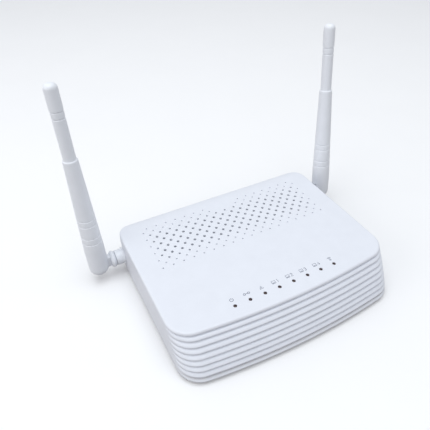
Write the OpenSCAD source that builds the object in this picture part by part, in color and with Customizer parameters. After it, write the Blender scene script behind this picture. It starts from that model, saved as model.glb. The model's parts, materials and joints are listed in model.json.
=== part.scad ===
// Optical network terminal with four network sockets, one optical socket and two folding antennas.
// +Z is up, the ribbed front faces -Y and the sockets face +Y. Z = 0 is the surface under the feet.
// X = 0, Y = 0 is the centre of the whole footprint, leaning antennas included. All sizes are in mm.

/* [Case] */
// Width of the case, side to side
case_w = 150; // [146:1:170]
// Depth of the case at its foot, front to rear
case_d = 121; // [116:1:136]
// Height of the case without its feet
case_h = 30; // [29:0.5:33]
// Wall thickness of both mouldings
wall = 2; // [1.6:0.1:2.4]
// Radius of the two rear corners in plan
rear_corner_r = 12; // [8:0.5:14]
// Radius of the two front corners in plan
front_corner_r = 15; // [10:0.5:18]
// Radius of the front face's bow in plan
bow_r = 500; // [300:10:900]
// How far the top's front edge stands behind the foot
front_setback = 14.5; // [8:0.5:16]
// Height of the base's lip, below the parting line
lip_h = 3.3; // [3:0.1:4]
// Number of ribs across the front above the parting line
rib_count = 7; // [5:1:7]
// Height from one rib to the next
rib_pitch = 3.4; // [3:0.1:3.4]
// Depth of the grooves between the ribs
rib_depth = 1; // [0.3:0.1:1.2]
// How far the feet stand out below the case
foot_h = 1.5; // [1:0.1:3]

/* [Vents] */
// Distance between neighbouring holes of the vent field
vent_pitch = 5; // [4.6:0.1:5.2]
// Rows of holes, front to rear
vent_rows = 12; // [8:1:12]
// Diameter of the middle holes
vent_big_d = 1.9; // [1.2:0.1:2.4]
// Diameter of the outermost holes
vent_small_d = 1.1; // [0.6:0.1:1.2]

/* [Indicators] */
// Number of indicator windows
led_count = 8; // [4:1:8]
// Distance between indicator windows
led_pitch = 10; // [8:0.5:11]
// Diameter of an indicator window
led_d = 2.1; // [1.6:0.1:2.6]

/* [Antennas] */
// Length of a rod from its hinge pin to its tip
rod_len = 125; // [100:1:160]
// Diameter of a rod at its foot
rod_base_d = 13.2; // [12:0.1:13.4]
// Diameter of a rod just below its step
rod_mid_d = 9; // [8.4:0.1:10]
// Diameter of a rod above its step
rod_top_d = 7.5; // [7:0.1:8]
// Backward lean of the left antenna at rest, in degrees
lean_left = 4.5; // [0:0.5:12]
// Backward lean of the right antenna at rest, in degrees
lean_right = 8; // [0:0.5:12]
// Height of the swivel axes above the surface
swivel_z = 14.3; // [13.5:0.1:15]

/* [Hidden] */
$fn = 48;

white = [0.93, 0.94, 0.96];
grey_white = [0.86, 0.87, 0.89];
board_green = [0.05, 0.3, 0.15];
chip_black = [0.08, 0.08, 0.09];
brass = [0.8, 0.65, 0.3];
steel = [0.7, 0.71, 0.73];
clear = [0.35, 0.28, 0.24];

left = -1;
right = 1;
eps = 0.01;
gap = 0.3;         // between pieces that move past each other
fine_gap = 0.15;   // between fixed pieces that only stand side by side
run_gap = 0.05;    // radial, between a turning shaft and its bore
press_gap = 0.02;  // radial, round a pin that is held fast
over = 1;          // how far a cut reaches beyond the material it opens

// heights of the case, from the surface up
case_z = foot_h;
floor_z = case_z + wall;
part_z = case_z + lip_h;
top_z = case_z + case_h;
roof_z = top_z - wall;
setback_power = 1.3;
upstand_h = 2;
upstand_t = 1.2;
band_from = lip_h + rib_count * rib_pitch;

// roll-off along the rear top edge and chamfer along the side top edges
roll_d = 10;
roll_h = 3;
roll_steps = 8;
edge_chamfer = 1.2;

// antenna joint, measured outwards from the pin towards the case (all along X)
pin_side_x = case_w / 2 + 17.8;
pin_from_rear = 11.5;
rod_end_drop = 1.4;
rod_end_r = rod_base_d / 2;
ring_face_x = rod_end_drop + rod_end_r + gap;
ring_w = 3.4;
ring_r = 6;
ring_side_r = 4.7;
ring_flat = [0.45, 0.55];  // where the ring's outer edge starts and ends, as shares of its width
sleeve_end_x = ring_face_x + ring_w + gap;
wall_face_x = pin_side_x - case_w / 2;
sleeve_r = 5.2;
sleeve_inside = 1.5;
collar_r = 6;
collar_t = 0.9;
journal_r = 3;
journal_end = 3.5;
coax_bore_r = 1.1;
coax_bore_from = 3.25;
clip_t = 0.7;
clip_r = 4.4;
clip_groove_r = 2.4;
clip_mouth = 0.8;
clip_x = wall_face_x + wall + sleeve_inside + gap;
tongue_t = 4.4;
tongue_r = 4.2;
neck_h = 7.8;
pin_r = 1.25;
pin_half = 5;
pin_end_gap = 0.1;
slot_reach = 4.8;

// rod outline, measured along the rod from the pin
taper_from = 14;
step_at = rod_len - 45;
step_h = 1;
tip_from = rod_len - 14.8;
tip_r = 3.9;
tip_round = 3;
rod_bore_r = 2.6;
rod_bore_from = 12;
rod_bore_end = 5;
end_steps = 10;
groove_depth = 0.35;
groove_half = 0.55;
low_grooves = [20.9, 25.4, 34.7, 38.9];
high_grooves = [rod_len - 19.3, tip_from - 0.5];

// radiator in a rod: feed wire, coil and upper wire as radius, start above the bore's foot, and length
feed_wire = [0.8, gap, 30];
coil = [2.1, 26, 28];
upper_wire = [0.6, 50, rod_len - rod_bore_end - rod_bore_from - 54];
coax_r = 0.8;
coax_fn = 16;
coax_start_gap = 0.5;
coax_straight = 4;
coax_bend = [1, 6];
coax_drop = 2;

// place of the case's centre: the rearmost point is the tip of the antenna that leans furthest
most_lean = max(lean_left, lean_right);
tip_reach = (rod_len - tip_round) * sin(most_lean) + (tip_r - tip_round) * cos(most_lean) + tip_round;
case_y = (pin_from_rear - tip_reach) / 2;
rear_y = case_y + case_d / 2;
front_y = case_y - case_d / 2;
swivel_y = rear_y - pin_from_rear;

// front edge of the base's upstand before its inset, just inside the cover's lowest rib
upstand_front = front_y + setback(lip_h + rib_pitch * 1.5) + rib_depth;

// vent field and indicator row
vent_step = vent_pitch / sqrt(2);
vent_half_cols = 17;
vent_from_rear = 31.8;
led_from_front = 23.8;
led_y = front_y + led_from_front;
led_hole_d = led_d + 0.2;
vent_fn = 20;

// board, from the floor up
board_z = case_z + 5.5;
board_t = 1.6;
board_top = board_z + board_t;
board_w = 2 * (case_w / 2 - 11);
board_front = front_y + 17;
board_rear = rear_y - wall - 0.5;
case_screw_spots = [[-58, 34], [58, 34], [-55, 92], [55, 92]];  // X and distance from the rear
board_screw_spots = [[-44, 100], [44, 100], [-60, 66], [60, 66]];
case_boss_r = 3.3;
case_boss_hole_r = 4;
well_r = case_boss_r + 1;
board_boss_r = 2.5;
screw_head_r = 2.8;
screw_head_h = 1.8;
screw_core_r = 1.2;
screw_len = 12;
board_screw_r = 0.9;
board_screw_head_r = 2;
board_screw_head_h = 1.2;
board_screw_len = 5;
screw_cross = [3.2, 0.6, 1];
board_screw_cross = [2.4, 0.5, 1];

// underside: feet, keyholes for a wall, air slots and label
foot_r = 5;
foot_recess = 0.5;
foot_spots = [[-62, 12], [62, 12], [-60, 103], [60, 103]];
keyhole_x = 45;
keyhole_from_rear = 62;
keyhole_r = 3.6;
keyhole_slot_r = 2;
keyhole_slot = 6;
slot_count = 8;
slot_pitch = 5;
slot_w = 2;
slot_len = 24;
slot_x = 18;
slot_from_rear = 38;
label_w = 56;
label_d = 30;
label_t = 0.15;
label_recess = 0.2;
label_from_rear = 92;

// light pipes and the chips below them
pipe_bar_z = roof_z - 4;
pipe_bar_h = 1.5;
pipe_bar_w = 3;
pipe_foot_gap = 0.5;
led_chip = [2, 1.2, 0.8];

// rear panel and what stands behind it
panel_half_w = 62;
panel_h = 22.2;
jack_w = 16;
jack_d = 18;
jack_h = 13.4;
jack_proud = 0.4;
jack_pitch = 16.5;
jack_first_x = -32.5;
jack_count = 4;
jack_open_w = 11.8;
jack_open_h = 7.4;
jack_open_sill = 4;
jack_open_d = 12.5;
latch_w = 6.2;
latch_h = 2.4;
contact_t = 0.35;
contact_pitch = 1.02;
contact_count = 8;
contact_len = 9;
contact_slope = 14;
contact_root = 1;
optical_x = -51;
optical_w = 12.8;
optical_d = 14;
optical_h = 10.4;
optical_open_w = 9.4;
optical_open_h = 7.6;
optical_open_d = 12;
optical_z = board_top + optical_h / 2;
optical_back = rear_y + jack_proud - optical_d;
ferrule_r = 1.25;
ferrule_wall = 0.35;
ferrule_from = 0.5;
ferrule_len = 7;
holder_r = 2.6;
holder_len = 7;
latch_arm = [0.9, 6.5, 4.4];
latch_arm_x = 3.6;
latch_web_t = 1;
latch_y = rear_y + jack_proud - optical_open_d + fine_gap;
module_r = 3.4;
module_len = 9;
module_neck_r = 2.4;
module_neck_end = 14;
module_post_r = 2.2;
module_post_y = 5;
dc_x = 44.5;
dc_w = 9;
dc_d = 13.5;
dc_h = 11;
dc_bore_r = 3.1;
dc_bore_d = 10;
dc_pin_r = 1;
dc_z = board_top + 6;
dc_pin_end = 1;
dc_back_t = 1;
dc_leaf = [2, 8, 0.4];
dc_leaf_slot_d = 8.5;
power_x = 55.5;
power_cap = 7.4;
power_proud = 3;
power_body = [8.6, 11, 8.6];
power_front = rear_y - 6;
power_hole_d = 8;
power_stem = 3;
power_flange = 0.9;
power_travel = 2;
tact_front = rear_y - 5.5;
tact_d = 4.5;
tact_hole_d = 2;
wifi_x = 30.5;
wifi_body_w = 6;
wifi_cap_r = 2.3;
wifi_proud = 1;
wifi_flange = 0.7;
wifi_flange_t = 0.7;
wifi_stem_r = 1.2;
wifi_stem_in = 1;
reset_x = 36.8;
reset_body_w = 4.8;
reset_r = 1;
reset_in = 1.2;
reset_out = 1.6;
button_z = board_top + 5.2;
panel_hole_r = 0.9;

// parts on the board: X and distance from the rear, then size
soc_at = [6, 58];
soc_size = [20, 20, 1.6];
sink_size = [30, 30, 8];
sink_base = 2;
fin_count = 8;
fin_t = 1.2;
memory_at = [-20, 56];
memory_size = [13.5, 8, 1.1];
flash_at = [-20, 72];
flash_size = [8, 6, 0.9];
wifi_at = [34, 62];
wifi_size = [9, 9, 0.9];
shield_size = [24, 20, 2.8];
shield_t = 0.3;
transformer_from_rear = 29;
transformer_size = [25, 12, 5.5];
inductor_spots = [[52, 48], [52, 58], [36, 44]];
inductor_size = [7, 7, 3.6];
capacitor_spots = [[46, 28], [46, 38], [36, 28]];
capacitor_r = 3.15;
capacitor_h = 8;
crystal_spots = [[-4, 76], [22, 78]];
crystal_size = [11, 4.6, 3.4];

// setback of the front face at a height above the case's bottom
function setback(h) = front_setback * pow(h / case_h, setback_power);

// diameter of a vent hole: largest in the middle rows, small at the edges of the field
function vent_d(row, col) =
    let (rows_in = min(row, vent_rows - 1 - row) - 1)
    let (cols_in = (vent_half_cols - abs(col)) / 2)
    let (share = max(0, min(1, rows_in / 2, cols_in)))
    vent_small_d + (vent_big_d - vent_small_d) * share;

// the two rearmost rows leave the middle of the field open
function vent_here(row, col) =
    (row + col) % 2 != 0 && !(row >= vent_rows - 2 && abs(col) <= 2);

function vent_y(row) = rear_y - vent_from_rear + (row - (vent_rows - 1) / 2) * vent_step;

function led_x(i) = (i - (led_count - 1) / 2) * led_pitch;

function jack_x(i) = jack_first_x + i * jack_pitch;

// radius of a rod at a distance from its pin
function rod_r(s) =
    s < taper_from ? rod_base_d / 2
    : s < step_at ? (rod_base_d + (rod_mid_d - rod_base_d) * (s - taper_from) / (step_at - taper_from)) / 2
    : s < tip_from ? rod_top_d / 2
    : tip_r;

function groove(s) = [[rod_r(s - groove_half), s - groove_half],
                      [rod_r(s) - groove_depth, s],
                      [rod_r(s + groove_half), s + groove_half]];

// ---- shared shapes ----

// plan of the case with its front edge at the given Y, shrunk all round by inset
module plan(front, inset) {
    half = case_w / 2;
    corner_y = front + pow(half - front_corner_r, 2) / (2 * bow_r) + front_corner_r;
    intersection() {
        union() {
            translate([-half + inset, corner_y])
                square([case_w - 2 * inset, rear_y - rear_corner_r - corner_y]);
            translate([-half + front_corner_r, front])
                square([case_w - 2 * front_corner_r, case_d / 2]);
            translate([-half + rear_corner_r, rear_y - case_d / 2])
                square([case_w - 2 * rear_corner_r, case_d / 2 - inset]);
            for (side = [left, right]) {
                translate([side * (half - front_corner_r), corner_y])
                    circle(r = front_corner_r - inset);
                translate([side * (half - rear_corner_r), rear_y - rear_corner_r])
                    circle(r = rear_corner_r - inset);
            }
        }
        translate([0, front + bow_r]) circle(r = bow_r - inset, $fn = 256);
    }
}

// side view of the case, with the roll-off along the rear top edge
module side_view() {
    corner = [for (i = [0 : roll_steps]) let (a = 90 * i / roll_steps)
        [rear_y - roll_d + roll_d * sin(a), top_z - roll_h + roll_h * cos(a)]];
    polygon(concat([[front_y - wall, 0], [front_y - wall, top_z]], corner, [[rear_y, 0]]));
}

// a box from its centre in X, its low Y, its low Z and its size
module box_at(x, y, z, size) {
    translate([x - size[0] / 2, y, z]) cube(size);
}

module chip(at, size, z = board_top) {
    box_at(at[0], rear_y - at[1] - size[1] / 2, z, size);
}

// a cylinder that lies along Y from one Y to another
module along_y(x, z, r, from_y, to_y) {
    translate([x, to_y, z]) rotate([90, 0, 0]) cylinder(r = r, h = to_y - from_y);
}

// a cylinder that lies along X from one X to another
module along_x(r, from_x, to_x) {
    translate([from_x, 0, 0]) rotate([0, 90, 0]) cylinder(r = r, h = to_x - from_x);
}

// the cross in a screw's head, cut from the given height up
module cross_cut(size, z) {
    for (a = [0, 90]) rotate([0, 0, a]) translate([-size[0] / 2, -size[1] / 2, z]) cube(size);
}

// a round wire through a list of points
module wire(points, r) {
    for (i = [0 : len(points) - 2]) {
        step = points[i + 1] - points[i];
        span = norm(step);
        translate(points[i])
            rotate([0, acos(step[2] / span), atan2(step[1], step[0])])
            cylinder(r = r, h = span, $fn = coax_fn);
    }
    for (i = [1 : len(points) - 2]) translate(points[i]) sphere(r = r + run_gap, $fn = coax_fn);
}

// antenna frame: origin at the hinge pin, +X outwards, for the turning pieces and the fixed ones
module antenna_fixed(side) {
    translate([side * pin_side_x, swivel_y, swivel_z]) mirror([side == left ? 1 : 0, 0, 0]) children();
}

module antenna_turned(side) {
    lean = side == left ? lean_left : lean_right;
    antenna_fixed(side) rotate([-lean, 0, 0]) children();
}

// ---- case ----

module cover_outside() {
    for (i = [0 : rib_count - 1]) {
        low = lip_h + i * rib_pitch;
        front = front_y + setback(low + rib_pitch / 2);
        translate([0, 0, case_z + low]) linear_extrude(rib_pitch) plan(front + rib_depth, 0);
        translate([0, 0, case_z + low + rib_depth / 2])
            linear_extrude(rib_pitch - rib_depth) plan(front, 0);
    }
    translate([0, 0, case_z + band_from])
        linear_extrude(case_h - band_from) plan(front_y + setback((band_from + case_h) / 2), 0);
}

module cover_inside() {
    for (i = [0 : rib_count - 1]) {
        low = lip_h + i * rib_pitch;
        front = front_y + setback(low + rib_pitch * 1.5) + rib_depth;
        translate([0, 0, case_z + low - eps])
            linear_extrude(min(rib_pitch, case_h - wall - low) + 2 * eps) plan(front, wall);
    }
    translate([0, 0, case_z + band_from])
        linear_extrude(case_h - band_from - wall) plan(front_y + front_setback + rib_depth, wall);
}

module side_chamfers() {
    for (side = [left, right])
        translate([side * case_w / 2, 0, top_z])
            rotate([0, 45, 0])
            cube([edge_chamfer * sqrt(2), 2 * case_d, edge_chamfer * sqrt(2)], center = true);
}

module cover_bosses() {
    for (spot = case_screw_spots)
        translate([spot[0], rear_y - spot[1], board_z])
            cylinder(r = case_boss_r, h = roof_z - board_z + eps);
}

module top_cover() {
    color(white)
    difference() {
        union() {
            difference() {
                intersection() {
                    cover_outside();
                    rotate([90, 0, 90]) linear_extrude(2 * case_w, center = true) side_view();
                }
                cover_inside();
            }
            cover_bosses();
        }
        side_chamfers();
        box_at(0, rear_y - wall - eps, part_z - over,
               [2 * (panel_half_w + fine_gap), 2 * wall, panel_h + fine_gap + over]);
        for (row = [0 : vent_rows - 1])
            for (col = [-vent_half_cols : vent_half_cols])
                if (vent_here(row, col))
                    translate([col * vent_step, vent_y(row), roof_z - over])
                        cylinder(d = vent_d(row, col), h = wall + 2 * over, $fn = vent_fn);
        for (i = [0 : led_count - 1])
            translate([led_x(i), led_y, roof_z - over]) cylinder(d = led_hole_d, h = wall + 2 * over);
        for (spot = case_screw_spots)
            translate([spot[0], rear_y - spot[1], board_z - over])
                cylinder(r = screw_core_r + run_gap, h = screw_len);
        for (side = [left, right])
            antenna_fixed(side)
                along_x(sleeve_r + run_gap, -wall_face_x - 2 * wall, -wall_face_x + over);
    }
}

// the lip steps back halfway up, like the slope of the ribs above it
module base_walls() {
    translate([0, 0, case_z]) linear_extrude(lip_h / 2) plan(front_y, 0);
    translate([0, 0, case_z + lip_h / 2 - eps])
        linear_extrude(lip_h / 2 + eps) plan(front_y + setback(lip_h / 2), 0);
    translate([0, 0, part_z - eps])
        linear_extrude(upstand_h + eps) difference() {
            plan(upstand_front, wall + fine_gap);
            plan(upstand_front, wall + fine_gap + upstand_t);
            translate([-panel_half_w, rear_y - roll_d]) square([2 * panel_half_w, roll_d]);
        }
    box_at(0, rear_y - wall, case_z, [2 * panel_half_w, wall, lip_h + panel_h]);
}

module base_bosses() {
    for (spot = case_screw_spots)
        translate([spot[0], rear_y - spot[1], case_z])
            cylinder(r = well_r, h = board_z - case_z - gap);
    for (spot = board_screw_spots)
        translate([spot[0], rear_y - spot[1], case_z]) cylinder(r = board_boss_r, h = board_z - case_z);
}

module keyholes() {
    for (side = [left, right])
        translate([side * keyhole_x, rear_y - keyhole_from_rear, 0]) {
            cylinder(r = keyhole_r, h = board_z);
            translate([-keyhole_slot_r, -keyhole_slot, 0])
                cube([2 * keyhole_slot_r, keyhole_slot, board_z]);
            translate([0, -keyhole_slot, 0]) cylinder(r = keyhole_slot_r, h = board_z);
        }
}

module panel_cuts() {
    box_at((jack_x(0) + jack_x(jack_count - 1)) / 2, rear_y - 2 * wall, board_top - fine_gap,
           [(jack_count - 1) * jack_pitch + jack_w + 2 * fine_gap, 3 * wall, jack_h + 2 * fine_gap]);
    box_at(optical_x, rear_y - 2 * wall, board_top - fine_gap,
           [optical_w + 2 * fine_gap, 3 * wall, optical_h + 2 * fine_gap]);
    box_at(dc_x, rear_y - 2 * wall, board_top - fine_gap,
           [dc_w + 2 * fine_gap, 3 * wall, dc_h + 2 * fine_gap]);
    box_at(power_x, rear_y - 2 * wall, button_z - power_cap / 2 - gap,
           [power_cap + 2 * gap, 3 * wall, power_cap + 2 * gap]);
    along_y(wifi_x, button_z, wifi_cap_r + gap, rear_y - 2 * wall, rear_y + wall);
    along_y(reset_x, button_z, panel_hole_r, rear_y - 2 * wall, rear_y + wall);
}

module base() {
    color(grey_white)
    difference() {
        union() {
            difference() {
                base_walls();
                translate([0, 0, floor_z])
                    linear_extrude(case_h) difference() {
                        plan(upstand_front, wall + fine_gap + upstand_t);
                        translate([-case_w, rear_y - wall]) square([2 * case_w, wall]);
                    }
            }
            base_bosses();
        }
        for (spot = case_screw_spots)
            translate([spot[0], rear_y - spot[1], 0]) {
                cylinder(r = screw_head_r + gap, h = board_z - wall);
                cylinder(r = screw_core_r + gap, h = board_z);
            }
        for (spot = board_screw_spots)
            translate([spot[0], rear_y - spot[1], floor_z])
                cylinder(r = board_screw_r + run_gap, h = board_z);
        for (spot = foot_spots)
            translate([spot[0], rear_y - spot[1], 0])
                cylinder(r = foot_r + fine_gap, h = case_z + foot_recess);
        box_at(0, rear_y - label_from_rear - label_d / 2, 0,
               [label_w + 2 * fine_gap, label_d + 2 * fine_gap, case_z + label_recess]);
        for (i = [0 : slot_count - 1])
            for (side = [left, right])
                translate([side * slot_x - slot_len / 2, rear_y - slot_from_rear - i * slot_pitch, 0])
                    cube([slot_len, slot_w, board_z]);
        keyholes();
        panel_cuts();
    }
}

module feet() {
    color("dimgray")
    for (spot = foot_spots)
        translate([spot[0], rear_y - spot[1], 0]) cylinder(r = foot_r, h = case_z + foot_recess);
}

module case_screws() {
    color(steel)
    for (spot = case_screw_spots)
        translate([spot[0], rear_y - spot[1], board_z - wall - screw_head_h]) difference() {
            union() {
                cylinder(r = screw_head_r, h = screw_head_h);
                cylinder(r = screw_core_r, h = screw_len);
            }
            cross_cut(screw_cross, -eps);
        }
}

module board_screws() {
    color(steel)
    for (spot = board_screw_spots)
        translate([spot[0], rear_y - spot[1], board_top]) difference() {
            union() {
                cylinder(r = board_screw_head_r, h = board_screw_head_h);
                translate([0, 0, -board_screw_len]) cylinder(r = board_screw_r, h = board_screw_len + eps);
            }
            cross_cut(board_screw_cross, board_screw_head_h / 2);
        }
}

module rating_label() {
    color("white")
        box_at(0, rear_y - label_from_rear - label_d / 2 + fine_gap,
               case_z + label_recess - label_t, [label_w, label_d, label_t]);
}

// ---- indicators ----

module light_pipes() {
    color(clear) {
        box_at(0, led_y - pipe_bar_w / 2, pipe_bar_z,
               [(led_count - 1) * led_pitch + pipe_bar_w, pipe_bar_w, pipe_bar_h]);
        for (i = [0 : led_count - 1])
            translate([led_x(i), led_y, board_top + led_chip[2] + pipe_foot_gap])
                cylinder(d = led_d, h = top_z - board_top - led_chip[2] - pipe_foot_gap);
    }
}

module status_leds() {
    color("ivory")
    for (i = [0 : led_count - 1])
        box_at(led_x(i), led_y - led_chip[1] / 2, board_top, led_chip);
}

// ---- board ----

module main_board() {
    color(board_green)
    difference() {
        box_at(0, board_front, board_z, [board_w, board_rear - board_front, board_t]);
        for (spot = case_screw_spots)
            translate([spot[0], rear_y - spot[1], board_z - over])
                cylinder(r = case_boss_hole_r, h = board_t + 2 * over);
        for (spot = board_screw_spots)
            translate([spot[0], rear_y - spot[1], board_z - over])
                cylinder(r = board_screw_r + fine_gap, h = board_t + 2 * over);
    }
}

module soc_chip() { color(chip_black) chip(soc_at, soc_size); }

module soc_heatsink() {
    color("silver") {
        z = board_top + soc_size[2];
        chip(soc_at, [sink_size[0], sink_size[1], sink_base], z);
        fin_pitch = (sink_size[0] - fin_t) / (fin_count - 1);
        for (i = [0 : fin_count - 1])
            chip([soc_at[0] - (sink_size[0] - fin_t) / 2 + i * fin_pitch, soc_at[1]],
                 [fin_t, sink_size[1], sink_size[2]], z);
    }
}

module memory_chip() { color(chip_black) chip(memory_at, memory_size); }

module flash_chip() { color(chip_black) chip(flash_at, flash_size); }

module wifi_chip() { color(chip_black) chip(wifi_at, wifi_size); }

module wifi_shield() {
    color(steel)
    difference() {
        chip(wifi_at, shield_size);
        chip(wifi_at, [shield_size[0] - 2 * shield_t, shield_size[1] - 2 * shield_t,
                       shield_size[2] - shield_t], board_top - eps);
    }
}

module lan_transformers() {
    color(chip_black)
    for (i = [0 : 2 : jack_count - 2])
        chip([(jack_x(i) + jack_x(i + 1)) / 2, transformer_from_rear], transformer_size);
}

module inductors() {
    color("dimgray")
    for (at = inductor_spots) chip(at, inductor_size);
}

module capacitors() {
    color("silver")
    for (at = capacitor_spots)
        translate([at[0], rear_y - at[1], board_top]) cylinder(r = capacitor_r, h = capacitor_h);
}

module crystals() {
    color(steel)
    for (at = crystal_spots) chip(at, crystal_size);
}

// ---- rear sockets ----

module lan_jack(i) {
    color("gainsboro")
    difference() {
        box_at(jack_x(i), rear_y + jack_proud - jack_d, board_top, [jack_w, jack_d, jack_h]);
        box_at(jack_x(i), rear_y + jack_proud - jack_open_d, board_top + jack_open_sill,
               [jack_open_w, jack_open_d + over, jack_open_h]);
        box_at(jack_x(i), rear_y + jack_proud - jack_open_d, board_top + jack_open_sill - latch_h,
               [latch_w, jack_open_d + over, latch_h + over]);
    }
}

module lan_contacts(i) {
    color(brass)
    for (k = [0 : contact_count - 1])
        translate([jack_x(i) + (k - (contact_count - 1) / 2) * contact_pitch,
                   rear_y + jack_proud - jack_open_d - contact_root,
                   board_top + jack_open_sill + jack_open_h - contact_t - gap])
            rotate([-contact_slope, 0, 0])
            translate([-contact_t / 2, 0, 0]) cube([contact_t, contact_len, contact_t]);
}

module lan_jack_1() { lan_jack(0); }
module lan_jack_2() { lan_jack(1); }
module lan_jack_3() { lan_jack(2); }
module lan_jack_4() { lan_jack(3); }
module lan_contacts_1() { lan_contacts(0); }
module lan_contacts_2() { lan_contacts(1); }
module lan_contacts_3() { lan_contacts(2); }
module lan_contacts_4() { lan_contacts(3); }

module optical_socket() {
    color("seagreen")
    difference() {
        box_at(optical_x, optical_back, board_top, [optical_w, optical_d, optical_h]);
        box_at(optical_x, rear_y + jack_proud - optical_open_d, optical_z - optical_open_h / 2,
               [optical_open_w, optical_open_d + over, optical_open_h]);
        along_y(optical_x, optical_z, holder_r + fine_gap, optical_back - over, rear_y);
    }
}

module optical_latches() {
    color("white")
    difference() {
        union() {
            along_y(optical_x, optical_z, holder_r, optical_back, optical_back + holder_len);
            box_at(optical_x, latch_y, optical_z - latch_arm[2] / 2,
                   [2 * latch_arm_x + latch_arm[0], latch_web_t, latch_arm[2]]);
            for (side = [left, right])
                box_at(optical_x + side * latch_arm_x, latch_y, optical_z - latch_arm[2] / 2, latch_arm);
        }
        along_y(optical_x, optical_z, ferrule_r + ferrule_wall + run_gap, optical_back - over, rear_y);
    }
}

module ferrule_sleeve() {
    color("white")
    difference() {
        along_y(optical_x, optical_z, ferrule_r + ferrule_wall,
                optical_back + ferrule_from, optical_back + ferrule_from + ferrule_len);
        along_y(optical_x, optical_z, ferrule_r, optical_back, rear_y);
    }
}

module optical_module() {
    color(steel) {
        along_y(optical_x, optical_z, module_r, optical_back - module_len, optical_back - fine_gap);
        along_y(optical_x, optical_z, module_neck_r,
                optical_back - module_neck_end, optical_back - module_len + over);
        translate([optical_x, optical_back - module_post_y, board_top + fine_gap])
            cylinder(r = module_post_r, h = optical_z - board_top);
    }
}

module dc_socket() {
    color(chip_black)
    difference() {
        box_at(dc_x, rear_y + jack_proud - dc_d, board_top, [dc_w, dc_d, dc_h]);
        along_y(dc_x, dc_z, dc_bore_r, rear_y + jack_proud - dc_bore_d, rear_y + wall);
        along_y(dc_x, dc_z, dc_pin_r + run_gap, rear_y - dc_d - over, rear_y);
        box_at(dc_x, rear_y + jack_proud - dc_bore_d, dc_z - dc_bore_r - dc_leaf[2],
               [dc_leaf[0] + 2 * fine_gap, dc_leaf_slot_d, dc_bore_r]);
    }
}

module dc_pin() {
    color(steel)
        along_y(dc_x, dc_z, dc_pin_r, rear_y + jack_proud - dc_d + dc_back_t, rear_y - dc_pin_end);
}

module dc_contact() {
    color(brass)
        box_at(dc_x, rear_y + jack_proud - dc_bore_d + fine_gap,
               dc_z - dc_bore_r - dc_leaf[2] + run_gap, dc_leaf);
}

module power_switch() {
    color(chip_black)
    difference() {
        box_at(power_x, power_front - power_body[1], board_top, power_body);
        box_at(power_x, power_front - power_hole_d, button_z - power_stem / 2 - gap,
               [power_stem + 2 * gap, power_hole_d + over, power_stem + 2 * gap]);
    }
}

module power_button() {
    stem_end = power_front - power_hole_d + power_travel + gap;
    color(white) {
        box_at(power_x, rear_y - wall - gap, button_z - power_cap / 2,
               [power_cap, power_proud + wall + gap, power_cap]);
        box_at(power_x, rear_y - wall - gap - power_flange, button_z - power_cap / 2 - power_flange,
               [power_cap + 2 * power_flange, power_flange, power_cap + 2 * power_flange]);
        box_at(power_x, stem_end, button_z - power_stem / 2,
               [power_stem, rear_y - wall - stem_end, power_stem]);
    }
}

module tact_switch(x, w, r) {
    color(chip_black)
    difference() {
        box_at(x, tact_front - tact_d, board_top, [w, tact_d, button_z - board_top + w / 2]);
        along_y(x, button_z, r + gap, tact_front - tact_hole_d, rear_y);
    }
}

module wifi_switch() { tact_switch(wifi_x, wifi_body_w, wifi_stem_r); }

module wifi_button() {
    flange_y = rear_y - wall - gap - wifi_flange_t;
    color(white) {
        along_y(wifi_x, button_z, wifi_cap_r, flange_y, rear_y + wifi_proud);
        along_y(wifi_x, button_z, wifi_cap_r + wifi_flange, flange_y, flange_y + wifi_flange_t);
        along_y(wifi_x, button_z, wifi_stem_r, tact_front - wifi_stem_in, rear_y - wall);
    }
}

module reset_switch() { tact_switch(reset_x, reset_body_w, reset_r); }

module reset_plunger() {
    color("white") along_y(reset_x, button_z, reset_r, tact_front - reset_in, tact_front + reset_out);
}

// ---- antennas ----

module sleeve(side) {
    color(white)
    antenna_fixed(side) difference() {
        union() {
            along_x(sleeve_r, -wall_face_x - wall - sleeve_inside, -sleeve_end_x);
            along_x(collar_r, -wall_face_x + run_gap, -wall_face_x + collar_t);
        }
        along_x(journal_r + run_gap, -wall_face_x - 2 * wall - sleeve_inside, 0);
    }
}

// half outline of a swivel's turned parts: ring, journal and clip groove
module swivel_outline() {
    groove_end = clip_x + clip_t + run_gap;
    polygon([[0, ring_face_x],
             [ring_side_r, ring_face_x],
             [ring_r, ring_face_x + ring_w * ring_flat[0]],
             [ring_r, ring_face_x + ring_w * ring_flat[1]],
             [ring_side_r, ring_face_x + ring_w],
             [journal_r, ring_face_x + ring_w],
             [journal_r, clip_x],
             [clip_groove_r, clip_x],
             [clip_groove_r, groove_end],
             [journal_r, groove_end],
             [journal_r, clip_x + journal_end],
             [0, clip_x + journal_end]]);
}

module swivel(side) {
    color(white)
    antenna_turned(side) difference() {
        union() {
            rotate([0, -90, 0]) rotate_extrude() swivel_outline();
            translate([-ring_face_x - over, -tongue_t / 2, -neck_h / 2])
                cube([ring_face_x + over, tongue_t, neck_h]);
            translate([0, tongue_t / 2, 0]) rotate([90, 0, 0]) cylinder(r = tongue_r, h = tongue_t);
        }
        along_y(0, 0, pin_r + run_gap, -tongue_t, tongue_t);
        along_x(coax_bore_r, -clip_x - 2 * journal_end, -coax_bore_from);
    }
}

module clip(side) {
    color(steel)
    antenna_turned(side) difference() {
        along_x(clip_r, -clip_x - clip_t, -clip_x);
        along_x(clip_groove_r + run_gap, -clip_x - 2 * clip_t, -clip_x + clip_t);
        translate([-clip_x - 2 * clip_t, -clip_groove_r * clip_mouth, 0])
            cube([4 * clip_t, 2 * clip_groove_r * clip_mouth, 2 * clip_r]);
    }
}

module pin(side) {
    color(steel) antenna_turned(side) along_y(0, 0, pin_r, -pin_half, pin_half);
}

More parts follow.
